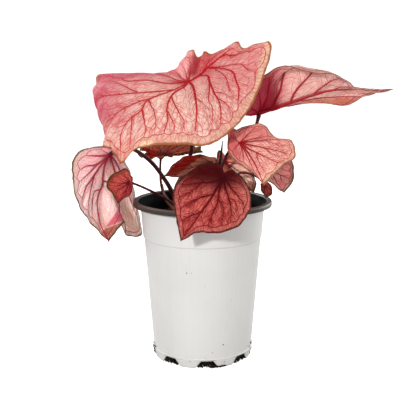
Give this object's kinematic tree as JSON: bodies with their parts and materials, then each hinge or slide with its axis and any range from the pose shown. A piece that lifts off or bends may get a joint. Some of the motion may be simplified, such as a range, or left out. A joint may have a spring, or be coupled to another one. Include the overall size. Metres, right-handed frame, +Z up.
{
  "type": "caladium",
  "caption": "Caladium with heart-shaped pink and red veined leaves on thin dark stems, growing from a tuber in the soil of a tapered nursery pot with a rolled lip and a notched foot.",
  "frame": {"origin": "centre of the pot's underside, on the surface it stands on", "axes": "+Z up along the pot's axis, +X to the side of the largest outward leaf, -Y towards the front, where the top leaf's tip hangs over"},
  "size_m": [0.3252, 0.1711, 0.3167],
  "materials": {
    "pot": "thin moulded nursery plastic, white and satin outside, black inside, dark grey at the lip",
    "soil": "dark peaty potting mix with bark crumbs",
    "tuber": "brown, rough, corky skin",
    "stem": "dark maroon, smooth, satin, faintly streaked along its length",
    "pale_leaf": "peach to rose pink between thick crimson veins, cream band and thin olive-brown line at the margin, satin",
    "red_leaf": "deep red to rose with darker veins, dark red-brown margin, satin",
    "sheath": "dry, papery, brown"
  },
  "bodies": {
    "root": {"pot": "pot", "soil": "soil", "tuber": "tuber", "leaf_top": "pale_leaf", "leaf_right": "pale_leaf", "leaf_left": "pale_leaf", "leaf_middle": "pale_leaf", "leaf_low": "pale_leaf", "leaf_back": "pale_leaf", "leaf_lobe": "red_leaf", "leaf_front": "red_leaf", "leaf_shade": "red_leaf", "leaf_under": "red_leaf", "leaf_young": "red_leaf", "stem_top": "stem", "stem_right": "stem", "stem_left": "stem", "stem_middle": "stem", "stem_low": "stem", "stem_back": "stem", "stem_lobe": "stem", "stem_front": "stem", "stem_shade": "stem", "stem_under": "stem", "stem_young": "stem", "new_leaf": "stem", "sheath": "sheath"}
  },
  "joints": []
}
